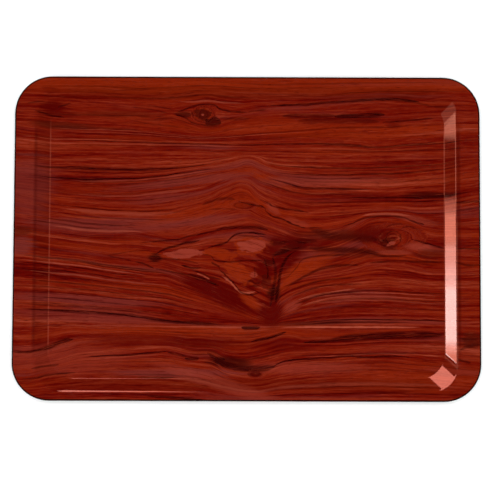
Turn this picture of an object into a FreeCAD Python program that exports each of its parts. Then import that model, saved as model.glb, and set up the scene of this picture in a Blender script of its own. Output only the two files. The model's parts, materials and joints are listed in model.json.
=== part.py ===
# Shallow rectangular serving tray, hot-pressed from a stack of resin-soaked papers.
#
# The tray has a flat floor, a straight sloping wall and a flat rim, which is wider at the two
# short ends, where the hands hold it. From the top down the stack is a clear wear sheet, a printed
# decor sheet, the brown kraft plies of the core and a plain backing sheet. Each is a closed solid
# of its own thickness that lies face to face on the next. The cut edge of the stack is sanded: well
# rounded above, so that the dark core shows round the print, and only eased below.
#
# Frame: millimetres, origin at the centre of the underside, +X along the tray, +Z up.

import FreeCAD
import Part
import math
import os

# Driving dimensions of the upper face.
TRAY_LENGTH = 460.0
TRAY_WIDTH = 320.0
OUTLINE_RADIUS = 37.0
GRIP_RIM_WIDTH = 21.8
SIDE_RIM_WIDTH = 9.2
WALL_RUN = 12.0
WELL_DEPTH = 10.0
WELL_CORNER_RADIUS = 27.0
FLOOR_BEND_RADIUS = 2.0
RIM_BEND_RADIUS = 8.7
UPPER_EDGE_RADIUS = 1.8
LOWER_EDGE_RADIUS = 0.5

# Pressed thickness of each sheet, and the number of kraft plies in the core.
OVERLAY_THICKNESS = 0.10
DECOR_THICKNESS = 0.15
CORE_PLY_THICKNESS = 0.20
CORE_PLY_COUNT = 10
BACKING_THICKNESS = 0.15

# The stack from the top down, as node name and thickness.
STACK = [("clear_overlay", OVERLAY_THICKNESS), ("decor_sheet", DECOR_THICKNESS)]
STACK += [(f"core_ply_{number}", CORE_PLY_THICKNESS) for number in range(1, CORE_PLY_COUNT + 1)]
STACK += [("backing_sheet", BACKING_THICKNESS)]

# Sizes that follow from the driving dimensions. The half sizes are those of the sharp corner lines
# between floor, wall and rim, before the bends are rounded.
STACK_THICKNESS = sum(thickness for name, thickness in STACK)
TRAY_HEIGHT = WELL_DEPTH + STACK_THICKNESS
WALL_ANGLE = math.atan2(WELL_DEPTH, WALL_RUN)
OUTER_HALF_X = TRAY_LENGTH / 2
OUTER_HALF_Y = TRAY_WIDTH / 2
MOUTH_HALF_X = OUTER_HALF_X - GRIP_RIM_WIDTH
MOUTH_HALF_Y = OUTER_HALF_Y - SIDE_RIM_WIDTH
FLOOR_HALF_X = MOUTH_HALF_X - WALL_RUN
FLOOR_HALF_Y = MOUTH_HALF_Y - WALL_RUN

# Allowances of the construction, which leave no mark on the tray.
BLOCK_MARGIN = 10.0  # how far the forming blocks reach past the tray
SKIRT_INSET = 3.0  # how far the trimming skirt stands inside the outline, clear of the round edge
LEVEL_TOLERANCE = 0.001  # how near to a height an edge has to lie to count as level with it


def rounded_rectangle(half_x, half_y, radius, z):
    """Closed wire of a rounded rectangle about the Z axis, at height z."""
    straight_x = half_x - radius
    straight_y = half_y - radius
    slant = radius * math.sqrt(0.5)
    edges = []
    for sign_x, sign_y in ((1, 1), (-1, 1), (-1, -1), (1, -1)):
        end_of_x_side = FreeCAD.Vector(sign_x * half_x, sign_y * straight_y, z)
        end_of_y_side = FreeCAD.Vector(sign_x * straight_x, sign_y * half_y, z)
        middle = FreeCAD.Vector(sign_x * (straight_x + slant), sign_y * (straight_y + slant), z)
        start, end = end_of_x_side, end_of_y_side
        if sign_x != sign_y:
            start, end = end, start
        if edges:
            edges.append(Part.makeLine(edges[-1].lastVertex().Point, start))
        edges.append(Part.Arc(start, middle, end).toShape())
    edges.append(Part.makeLine(edges[-1].lastVertex().Point, edges[0].firstVertex().Point))
    return Part.Wire(edges)


def centred_box(half_x, half_y, low_z, high_z):
    """Box about the Z axis between two heights."""
    corner = FreeCAD.Vector(-half_x, -half_y, low_z)
    return Part.makeBox(2 * half_x, 2 * half_y, high_z - low_z, corner)


def rounded_slab(half_x, half_y, radius, low_z, high_z):
    """Rounded rectangle drawn up between two heights."""
    face = Part.Face(rounded_rectangle(half_x, half_y, radius, low_z))
    return face.extrude(FreeCAD.Vector(0, 0, high_z - low_z))


def level_edges(shape, half_x, half_y, z):
    """Edges of a shape that lie at height z, within a rectangle about the Z axis."""
    layer = centred_box(half_x, half_y, z - LEVEL_TOLERANCE, z + LEVEL_TOLERANCE).BoundBox
    return [edge for edge in shape.Edges if layer.isInside(edge.BoundBox)]


def well_space(depth_in_stack):
    """Space inside the interface that lies this deep in the stack, with straight sloping sides."""
    spread = depth_in_stack * math.tan(WALL_ANGLE / 2)
    floor_z = STACK_THICKNESS - depth_in_stack
    mouth_z = floor_z + WELL_DEPTH
    corner = WELL_CORNER_RADIUS + spread
    floor = rounded_rectangle(FLOOR_HALF_X + spread, FLOOR_HALF_Y + spread, corner, floor_z)
    mouth = rounded_rectangle(MOUTH_HALF_X + spread, MOUTH_HALF_Y + spread, corner, mouth_z)
    return Part.makeLoft([floor, mouth], True, True)


def forming_block(depth_in_stack):
    """Everything below the interface that lies this deep in the stack, with both bends rounded."""
    floor_z = STACK_THICKNESS - depth_in_stack
    rim_z = floor_z + WELL_DEPTH
    block_half_x = OUTER_HALF_X + BLOCK_MARGIN
    block_half_y = OUTER_HALF_Y + BLOCK_MARGIN
    block = centred_box(block_half_x, block_half_y, -BLOCK_MARGIN, rim_z)
    block = block.cut(well_space(depth_in_stack))
    floor_line = level_edges(block, OUTER_HALF_X, OUTER_HALF_Y, floor_z)
    block = block.makeFillet(FLOOR_BEND_RADIUS + depth_in_stack, floor_line)
    mouth_line = level_edges(block, OUTER_HALF_X, OUTER_HALF_Y, rim_z)
    return block.makeFillet(RIM_BEND_RADIUS - depth_in_stack, mouth_line)


def trimming_envelope():
    """Solid that trims the stack: a rim slab with a sanded edge, and a skirt set in from the edge."""
    slab = rounded_slab(OUTER_HALF_X, OUTER_HALF_Y, OUTLINE_RADIUS, WELL_DEPTH, TRAY_HEIGHT)
    upper_edges = level_edges(slab, TRAY_LENGTH, TRAY_WIDTH, TRAY_HEIGHT)
    slab = slab.makeFillet(UPPER_EDGE_RADIUS, upper_edges)
    lower_edges = level_edges(slab, TRAY_LENGTH, TRAY_WIDTH, WELL_DEPTH)
    slab = slab.makeFillet(LOWER_EDGE_RADIUS, lower_edges)
    skirt = rounded_slab(
        OUTER_HALF_X - SKIRT_INSET,
        OUTER_HALF_Y - SKIRT_INSET,
        OUTLINE_RADIUS - SKIRT_INSET,
        -BLOCK_MARGIN,
        TRAY_HEIGHT + BLOCK_MARGIN,
    )
    return slab.fuse(skirt)


def sheet_between(upper_block, lower_block, envelope):
    """One sheet of the stack: what lies under its upper interface and over its lower one."""
    return upper_block.cut(lower_block).common(envelope).Solids[0]


def main():
    os.makedirs("parts", exist_ok=True)
    envelope = trimming_envelope()
    depth_in_stack = 0.0
    upper_block = forming_block(depth_in_stack)
    for name, thickness in STACK:
        depth_in_stack += thickness
        lower_block = forming_block(depth_in_stack)
        sheet_between(upper_block, lower_block, envelope).exportStep(f"parts/{name}.step")
        upper_block = lower_block


main()
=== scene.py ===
import json
import math

import bpy
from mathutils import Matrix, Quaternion, Vector


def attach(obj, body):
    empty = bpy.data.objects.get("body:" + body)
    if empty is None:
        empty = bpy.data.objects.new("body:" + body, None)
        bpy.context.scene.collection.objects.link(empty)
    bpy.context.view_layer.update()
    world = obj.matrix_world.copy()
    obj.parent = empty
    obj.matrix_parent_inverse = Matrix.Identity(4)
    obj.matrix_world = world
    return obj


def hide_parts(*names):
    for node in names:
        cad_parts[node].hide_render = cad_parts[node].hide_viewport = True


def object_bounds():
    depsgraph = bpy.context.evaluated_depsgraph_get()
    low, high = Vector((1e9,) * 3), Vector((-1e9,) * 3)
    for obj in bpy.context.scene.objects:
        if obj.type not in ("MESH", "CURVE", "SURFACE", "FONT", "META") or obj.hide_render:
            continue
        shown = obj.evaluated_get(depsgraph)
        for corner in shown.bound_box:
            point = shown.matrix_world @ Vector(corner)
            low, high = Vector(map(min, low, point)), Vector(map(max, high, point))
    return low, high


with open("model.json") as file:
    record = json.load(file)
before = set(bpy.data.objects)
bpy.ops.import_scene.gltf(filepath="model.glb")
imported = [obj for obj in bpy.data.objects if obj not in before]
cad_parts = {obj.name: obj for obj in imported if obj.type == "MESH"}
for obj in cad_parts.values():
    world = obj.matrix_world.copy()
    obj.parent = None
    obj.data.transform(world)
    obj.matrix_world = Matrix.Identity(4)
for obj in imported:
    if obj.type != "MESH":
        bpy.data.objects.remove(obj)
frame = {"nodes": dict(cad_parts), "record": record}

cad_low, cad_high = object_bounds()

# ---------------------------------------------------------------------------------------------
# Sizes of the tray, in metres. The overall size comes from the frame; the rest are the driving
# dimensions of the pressed shape.
# ---------------------------------------------------------------------------------------------

MM = 0.001
HALF_X = (cad_high.x - cad_low.x) / 2
HALF_Y = (cad_high.y - cad_low.y) / 2
RIM_Z = cad_high.z
FLOOR_Z = next(m["pos_m"][2] for m in frame["record"]["mounts"] if m["name"] == "well_floor")
WELL_DEPTH = RIM_Z - FLOOR_Z

OUTLINE_RADIUS = 37.0 * MM
GRIP_RIM_WIDTH = 21.8 * MM
SIDE_RIM_WIDTH = 9.2 * MM
WALL_RUN = 12.0 * MM
WELL_CORNER_RADIUS = 27.0 * MM
FLOOR_BEND_RADIUS = 2.0 * MM
RIM_BEND_RADIUS = 8.7 * MM
UPPER_EDGE_RADIUS = 1.8 * MM
FACE_THICKNESS = 0.25 * MM

MOUTH_HALF_X = HALF_X - GRIP_RIM_WIDTH
MOUTH_HALF_Y = HALF_Y - SIDE_RIM_WIDTH
WALL_ANGLE = math.atan2(WELL_DEPTH, WALL_RUN)

# Mesh density of the printed face.
CORNER_STEPS = 32
SIDE_STEPS = 24
BEND_STEPS = 8
EDGE_STEPS = 6


# ---------------------------------------------------------------------------------------------
# The printed face: the decor sheet under its clear overlay, as one closed skin.
# ---------------------------------------------------------------------------------------------

def stations():
    """Points round a rounded rectangle: corner sign, outward direction, and place along the side."""
    around = []
    for quarter in range(4):
        start = quarter * math.pi / 2
        for step in range(CORNER_STEPS + 1):
            angle = start + step / CORNER_STEPS * math.pi / 2
            around.append((quarter, angle, 0.0))
        for step in range(1, SIDE_STEPS):
            around.append((quarter, start + math.pi / 2, step / SIDE_STEPS))
    return around


CORNER_SIGNS = ((1, 1), (-1, 1), (-1, -1), (1, -1))


def loop_point(station, half_x, half_y, radius):
    """One point of a rounded rectangle, for a station."""
    quarter, angle, along = station
    sign_x, sign_y = CORNER_SIGNS[quarter]
    centre = Vector((sign_x * (half_x - radius), sign_y * (half_y - radius), 0))
    point = centre + radius * Vector((math.cos(angle), math.sin(angle), 0))
    if along:
        next_x, next_y = CORNER_SIGNS[(quarter + 1) % 4]
        target = Vector((next_x * (half_x - radius), next_y * (half_y - radius), 0))
        point += (target - centre) * along
    return point


def wall_run_vector(station):
    """How far the wall runs outward from floor to rim at a station, in plan."""
    quarter, angle, along = station
    sign_x, sign_y = CORNER_SIGNS[quarter]
    run = Vector((sign_x * WALL_RUN, sign_y * WALL_RUN, 0))
    if along:
        next_x, next_y = CORNER_SIGNS[(quarter + 1) % 4]
        run = run.lerp(Vector((next_x * WALL_RUN, next_y * WALL_RUN, 0)), along)
    return run


def dish_column(station, depth):
    """Points and upward normals from floor to rim at a station, this deep in the stack."""
    quarter, angle, along = station
    outward = Vector((math.cos(angle), math.sin(angle), 0))
    up = Vector((0, 0, 1))
    spread = depth * math.tan(WALL_ANGLE / 2)
    floor = loop_point(
        station,
        MOUTH_HALF_X - WALL_RUN + spread,
        MOUTH_HALF_Y - WALL_RUN + spread,
        WELL_CORNER_RADIUS + spread,
    )
    floor.z = FLOOR_Z - depth
    run = wall_run_vector(station)
    rise = run + up * WELL_DEPTH
    reach = run.dot(outward)
    normal = (up * reach - outward * WELL_DEPTH).normalized()
    tilt = math.acos(normal.z)
    inward = -outward
    floor_radius = FLOOR_BEND_RADIUS + depth
    rim_radius = RIM_BEND_RADIUS - depth
    floor_share = floor_radius * (1 - normal.z) / WELL_DEPTH
    rim_share = 1 - rim_radius * (1 - normal.z) / WELL_DEPTH
    column = []
    ball = floor + rise * floor_share + normal * floor_radius
    for step in range(BEND_STEPS + 1):
        turn = tilt * step / BEND_STEPS
        direction = up * math.cos(turn) + inward * math.sin(turn)
        column.append((ball - direction * floor_radius, direction))
    ball = floor + rise * rim_share - normal * rim_radius
    for step in range(BEND_STEPS, -1, -1):
        turn = tilt * step / BEND_STEPS
        direction = up * math.cos(turn) + inward * math.sin(turn)
        column.append((ball + direction * rim_radius, direction))
    return column


def edge_column(station, last_turn):
    """Points and normals down the sanded edge at a station, from the flat rim to a given turn."""
    quarter, angle, along = station
    outward = Vector((math.cos(angle), math.sin(angle), 0))
    up = Vector((0, 0, 1))
    inset = UPPER_EDGE_RADIUS
    centre = loop_point(station, HALF_X - inset, HALF_Y - inset, OUTLINE_RADIUS - inset)
    centre.z = RIM_Z - UPPER_EDGE_RADIUS
    column = []
    for step in range(EDGE_STEPS + 1):
        turn = last_turn * step / EDGE_STEPS
        direction = up * math.cos(turn) + outward * math.sin(turn)
        column.append((centre + direction * UPPER_EDGE_RADIUS, direction))
    return column


def printed_face():
    """Closed skin of the print: its upper face, its sanded edge and its lower face."""
    last_turn = math.acos(1 - FACE_THICKNESS / UPPER_EDGE_RADIUS)
    around = stations()
    points = []
    normals = []
    columns = []
    for station in around:
        upper = dish_column(station, 0.0) + edge_column(station, last_turn)
        lower = [(point, -normal) for point, normal in reversed(dish_column(station, FACE_THICKNESS))]
        column = upper + lower
        columns.append(range(len(points), len(points) + len(column)))
        points += [point for point, normal in column]
        normals += [normal for point, normal in column]
    faces = []
    for first, second in zip(columns, columns[1:] + columns[:1]):
        for row in range(len(first) - 1):
            faces.append((first[row], first[row + 1], second[row + 1], second[row]))
    faces.append([column[0] for column in columns])
    faces.append([column[-1] for column in reversed(columns)])
    mesh = bpy.data.meshes.new("printed_face")
    mesh.from_pydata([tuple(point) for point in points], [], faces)
    mesh.shade_smooth()
    corner_normals = [normals[corner.vertex_index] for corner in mesh.loops]
    mesh.normals_split_custom_set([tuple(normal) for normal in corner_normals])
    piece = bpy.data.objects.new("printed_face", mesh)
    bpy.context.scene.collection.objects.link(piece)
    return piece


# ---------------------------------------------------------------------------------------------
# Small helpers for building node materials.
# ---------------------------------------------------------------------------------------------

class Nodes:
    """A node tree, with one short call for each kind of node."""

    def __init__(self, tree):
        self.tree = tree

    def link(self, value, socket):
        """Feeds a socket from another socket, or sets it to a plain value."""
        if isinstance(value, bpy.types.NodeSocket):
            self.tree.links.new(value, socket)
        else:
            socket.default_value = value

    def add(self, kind, inputs=(), output=0, **settings):
        """A node with its settings and inputs; gives back one of its outputs."""
        node = self.tree.nodes.new(kind)
        for key, value in settings.items():
            setattr(node, key, value)
        for key, value in dict(inputs).items():
            self.link(value, node.inputs[key])
        return node.outputs[output]

    def math(self, operation, first, second=0.0, third=0.0):
        inputs = {0: first, 1: second, 2: third}
        return self.add("ShaderNodeMath", inputs, operation=operation)

    def remap(self, value, low, high, new_low=0.0, new_high=1.0, smooth=True):
        """A clamped change of range, by default eased at both ends."""
        inputs = {0: value, 1: low, 2: high, 3: new_low, 4: new_high}
        easing = "SMOOTHSTEP" if smooth else "LINEAR"
        return self.add("ShaderNodeMapRange", inputs, interpolation_type=easing)

    def vector(self, x, y, z=0.0):
        return self.add("ShaderNodeCombineXYZ", {0: x, 1: y, 2: z})

    def noise(self, x, y, seed, per_mm_x, per_mm_y, detail=2.0, roughness=0.5):
        """Noise with its own fineness along and across, and a seed that picks a pattern."""
        fine_x = self.math("MULTIPLY", x, per_mm_x)
        fine_y = self.math("MULTIPLY", y, per_mm_y)
        place = self.vector(fine_x, fine_y, seed)
        inputs = {"Vector": place, "Scale": 1.0, "Detail": detail, "Roughness": roughness}
        return self.add("ShaderNodeTexNoise", inputs)

    def mix(self, share, first, second):
        node = self.tree.nodes.new("ShaderNodeMix")
        node.data_type = "RGBA"
        self.link(share, node.inputs[0])
        self.link(first, node.inputs[6])
        self.link(second, node.inputs[7])
        return node.outputs[2]

    def blend(self, share, first, second):
        """A mix of two numbers."""
        node = self.tree.nodes.new("ShaderNodeMix")
        self.link(share, node.inputs[0])
        self.link(first, node.inputs[2])
        self.link(second, node.inputs[3])
        return node.outputs[0]

    def ramp(self, value, stops):
        """A colour ramp with (position, colour) stops."""
        node = self.tree.nodes.new("ShaderNodeValToRGB")
        elements = node.color_ramp.elements
        while len(elements) > 1:
            elements.remove(elements[-1])
        elements[0].position, elements[0].color = stops[0]
        for position, colour in stops[1:]:
            elements.new(position).color = colour
        self.link(value, node.inputs[0])
        return node.outputs[0]

    def curve(self, value, points):
        """A smooth curve through (x, y) points, both from 0 to 1."""
        node = self.tree.nodes.new("ShaderNodeFloatCurve")
        curve = node.mapping.curves[0]
        curve.points[0].location = points[0]
        curve.points[1].location = points[-1]
        for x, y in points[1:-1]:
            curve.points.new(x, y)
        node.mapping.update()
        self.link(value, node.inputs[1])
        return node.outputs[0]

    def bump(self, height, strength, distance):
        inputs = {"Strength": strength, "Distance": distance, "Height": height}
        return self.add("ShaderNodeBump", inputs)

    def use(self, group, *values):
        """A node group, with its inputs in order; gives back its first output."""
        node = self.tree.nodes.new("ShaderNodeGroup")
        node.node_tree = group
        for value, socket in zip(values, node.inputs):
            self.link(value, socket)
        return node.outputs[0]


def new_material(name):
    """A material, its node tree and its shader."""
    material = bpy.data.materials.new(name)
    material.use_nodes = True
    return material, Nodes(material.node_tree), material.node_tree.nodes["Principled BSDF"]


def new_group(name, inputs, colours=()):
    """An empty node group; gives back the group, its tree and its inputs by name."""
    group = bpy.data.node_groups.new(name, "ShaderNodeTree")
    for key in inputs:
        kind = "NodeSocketColor" if key in colours else "NodeSocketFloat"
        group.interface.new_socket(name=key, in_out="INPUT", socket_type=kind)
    kind = "NodeSocketColor" if colours else "NodeSocketFloat"
    group.interface.new_socket(name="result", in_out="OUTPUT", socket_type=kind)
    nodes = Nodes(group)
    given = group.nodes.new("NodeGroupInput").outputs
    return group, nodes, [given[key] for key in inputs]


def give_back(nodes, value):
    """Ends a node group with its result."""
    nodes.link(value, nodes.tree.nodes.new("NodeGroupOutput").inputs[0])


def rgb(red, green, blue):
    """A display colour, 0 to 255, as the linear colour that a shader takes."""
    def linear(channel):
        share = channel / 255
        return share / 12.92 if share <= 0.04045 else ((share + 0.055) / 1.055) ** 2.4
    return (linear(red), linear(green), linear(blue), 1.0)


# ---------------------------------------------------------------------------------------------
# The print: three rosewood planks. Its grain follows lines that are drawn from the left edge to
# the right edge, in millimetres from the tray's centre, in order from the top edge down.
# ---------------------------------------------------------------------------------------------

PRINT_HALF_X = 231.0
PRINT_HALF_Y = 161.0

GRAIN_LINES = {
    "top_edge": [(-231, 161), (231, 161)],
    "top_band": [(-231, 144), (-156, 145), (-96, 142), (-42, 146), (13, 143), (82, 143),
                 (152, 147), (231, 145)],
    "over_eye": [(-231, 134), (-136, 131), (-96, 128), (-75, 127), (-57, 131), (-39, 135),
                 (-27, 132), (-16, 129),
                 (13, 132), (72, 135), (128, 140), (148, 139), (171, 137), (231, 133)],
    "under_eye": [(-231, 126), (-136, 123), (-90, 123), (-75, 125), (-67, 123), (-54, 118),
                  (-40, 114), (-30, 114),
                  (-12, 120), (13, 123), (92, 123), (136, 124), (171, 127), (231, 127)],
    "below_eye": [(-231, 113), (-185, 111), (-101, 107), (-40, 103), (3, 107), (88, 116),
                  (147, 118), (231, 120)],
    "long_line": [(-231, 101), (-207, 98), (-146, 97), (-81, 95), (3, 94), (97, 94), (133, 92),
                  (162, 95), (231, 100)],
    "upper_seam": [(-231, 83.4), (231, 83.4)],
    "peak_1": [(-231, 72), (-189, 70), (-127, 68), (-96, 68), (-62, 71), (-22, 78), (-4, 82),
               (9, 81), (21, 75),
               (42, 72), (73, 71), (109, 71), (162, 73), (231, 80)],
    "peak_2": [(-231, 63), (-193, 60), (-141, 59), (-96, 61), (-52, 67), (-10, 73), (0, 76),
               (13, 71), (36, 65),
               (64, 64), (103, 64), (162, 67), (231, 75)],
    "peak_3": [(-231, 52), (-186, 48), (-141, 46), (-96, 49), (-52, 55), (-22, 63), (3, 68),
               (15, 63), (36, 56),
               (57, 51), (82, 50), (132, 49), (181, 51), (231, 57)],
    "peak_4": [(-231, 40), (-194, 34), (-168, 31), (-126, 27), (-96, 27), (-61, 32), (-36, 39),
               (-22, 46), (-4, 51),
               (13, 38), (36, 28), (57, 25), (82, 25), (124, 28), (147, 29), (176, 27), (231, 35)],
    "heart_top": [(-231, 16), (-190, 11), (-141, 6), (-111, 6), (-66, 1), (-36, 9), (-15, 13),
                  (3, 16), (18, 12),
                  (37, 5), (53, -1), (87, 2), (109, 13), (125, 21), (147, 22), (162, 20),
                  (176, 14), (200, 12),
                  (231, 12)],
    "heart_bottom": [(-231, -19), (-188, -23), (-167, -25), (-135, -30), (-103, -33), (-81, -35),
                     (-59, -43),
                     (-29, -55), (-6, -67), (15, -78), (25, -81), (34, -69), (54, -57), (88, -51),
                     (125, -48),
                     (191, -52), (231, -51)],
    "low_line": [(-231, -69), (-177, -72), (-125, -76), (-95, -80), (-69, -83), (-36, -85),
                 (25, -85.5), (49, -84),
                 (95, -80), (132, -80), (191, -81), (231, -81)],
    "lower_seam": [(-231, -87.2), (231, -87.2)],
    "wedge": [(-231, -111), (-207, -111), (-194, -106), (-173, -101), (-134, -97), (-95, -96), (-46, -101),
              (-1, -103), (18, -98), (37, -93), (57, -96), (102, -95), (191, -90), (231, -92)],
    "wave": [(-231, -128), (-187, -126), (-169, -120), (-140, -117), (-95, -114), (-77, -113), (-53, -118),
             (-33, -119), (-21, -126), (-6, -129), (7, -129), (24, -126), (42, -122), (61, -119),
             (88, -118),
             (132, -116), (161, -118), (231, -125)],
    "last_line": [(-231, -138), (-213, -138), (-191, -133), (-161, -130), (-94, -130),
                  (-45, -134), (-16, -143),
                  (8, -146), (33, -142), (72, -138), (150, -137), (231, -141)],
    "bottom_edge": [(-231, -161), (231, -161)],
}

# Dark strokes along the grain, under the grain line that they follow: how far below it, start, end,
# half width (all in millimetres) and strength.
STROKES = {
    "top_band": [
        (-9.0, -60, 231, 0.9, 0.45), (-5.5, -231, 60, 0.7, 0.4), (2.5, -160, 20, 0.8, 0.45),
        (0.0, 60, 231, 0.8, 0.5),
    ],
    "under_eye": [
        (3.0, -120, -40, 0.6, 0.45), (0.0, -200, -90, 1.2, 0.45),
    ],
    "below_eye": [
        (0.0, -205, -100, 1.3, 0.6), (3.6, -205, 231, 0.7, 0.5), (6.5, -205, 20, 0.7, 0.55),
        (9.0, -160, 150, 0.5, 0.4),
    ],
    "long_line": [
        (-2.8, -231, -90, 0.7, 0.55), (0.0, -231, 231, 0.9, 0.9), (0.6, -130, -10, 1.2, 0.8),
        (1.2, 60, 231, 0.9, 0.8), (4.2, -231, 40, 0.6, 0.5), (7.0, 60, 231, 1.3, 0.6),
        (9.0, -80, 160, 0.8, 0.5),
    ],
    "peak_1": [
        (0.0, -231, -20, 1.6, 0.9), (2.6, -190, -60, 0.7, 0.55), (0.0, 5, 231, 0.9, 0.85),
        (3.4, 60, 231, 0.7, 0.5),
    ],
    "peak_2": [
        (0.0, -231, 0, 1.0, 0.95), (0.0, 8, 231, 1.0, 0.85), (3.0, -200, -20, 0.6, 0.55),
        (5.4, -180, -10, 0.7, 0.6), (3.4, 15, 160, 0.7, 0.6), (6.4, 20, 231, 0.6, 0.5),
        (8.4, -150, 0, 0.6, 0.5),
    ],
    "peak_3": [
        (0.0, 15, 130, 1.2, 0.95), (2.6, -200, -30, 0.7, 0.55), (5.0, 0, 120, 0.8, 0.7),
        (8.0, 90, 231, 1.6, 0.8), (10.0, -180, -40, 0.7, 0.5), (12.0, 20, 231, 0.9, 0.6),
    ],
    "peak_4": [
        (0.0, -200, -60, 1.0, 0.7), (3.0, 60, 231, 0.8, 0.6), (8.0, -190, -60, 0.8, 0.6),
    ],
    "heart_top": [
        (-7.0, -210, -100, 1.2, 0.65), (-3.0, -231, -130, 0.8, 0.6), (9.0, -195, -95, 0.7, 0.65),
        (13.0, -185, -100, 0.7, 0.6), (20.0, -170, -95, 0.6, 0.5),
    ],
    "heart_bottom": [
        (-4.0, -231, -75, 2.0, 0.85), (-1.5, -195, -60, 1.0, 0.9), (3.4, -231, -85, 0.6, 0.8),
        (6.4, -231, -90, 0.6, 0.75), (10.0, -231, -40, 0.5, 0.7), (13.6, -231, -30, 0.7, 0.75),
        (17.0, -231, -20, 0.5, 0.65), (20.4, -231, -30, 0.6, 0.6), (24.0, -231, -30, 0.6, 0.65),
        (27.5, -231, -30, 0.6, 0.6), (31.0, -160, -20, 0.5, 0.55), (3.0, 45, 231, 1.0, 0.75),
        (6.6, 50, 231, 0.6, 0.6), (11.0, 50, 231, 0.8, 0.65), (15.0, 90, 231, 0.6, 0.5),
        (20.0, 60, 231, 0.9, 0.6),
    ],
    "low_line": [
        (0.0, -231, -40, 1.3, 1.0), (-3.0, -231, -90, 0.7, 0.6), (0.0, 42, 231, 1.0, 1.0),
        (3.0, 38, 170, 1.6, 0.75),
    ],
    "wedge": [
        (-6.0, -160, 60, 0.7, 0.5), (8.0, -80, 0, 0.8, 0.5), (9.0, 60, 231, 0.8, 0.5),
    ],
    "wave": [
        (8.0, -200, -60, 0.7, 0.4), (-4.0, -60, -5, 1.2, 0.65), (-8.0, -70, 40, 1.2, 0.6),
        (5.0, 40, 231, 0.7, 0.45), (11.0, 30, 231, 0.7, 0.45),
    ],
    "last_line": [
        (4.0, -130, -30, 0.8, 0.5), (8.0, 20, 231, 0.8, 0.45), (14.0, 0, 231, 0.9, 0.5),
    ],
}

# Pale strokes along the grain, in the same form.
PALE_STROKES = {
    "below_eye": [
        (1.8, -205, -20, 0.5, 0.4), (5.0, -205, 80, 0.4, 0.4),
    ],
    "long_line": [
        (-1.6, -231, -90, 0.5, 0.4), (2.4, -200, 20, 0.8, 0.3),
    ],
    "peak_2": [
        (1.8, -190, -20, 0.7, 0.35),
    ],
    "peak_3": [
        (5.0, -190, -30, 1.2, 0.3),
    ],
    "peak_4": [
        (3.0, -190, -60, 2.2, 0.35),
    ],
    "heart_top": [
        (-0.5, -200, -95, 1.6, 0.4),
    ],
    "heart_bottom": [
        (1.8, -231, -90, 0.6, 0.55), (8.2, -231, -60, 0.7, 0.35), (5.0, 50, 200, 0.5, 0.5),
        (8.6, 55, 200, 0.5, 0.45), (13.0, 60, 231, 0.5, 0.35),
    ],
    "wave": [
        (2.4, -180, -80, 0.7, 0.35), (-2.4, 50, 170, 0.5, 0.45),
    ],
    "last_line": [
        (6.0, -120, 231, 2.0, 0.3),
    ],
}

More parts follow.
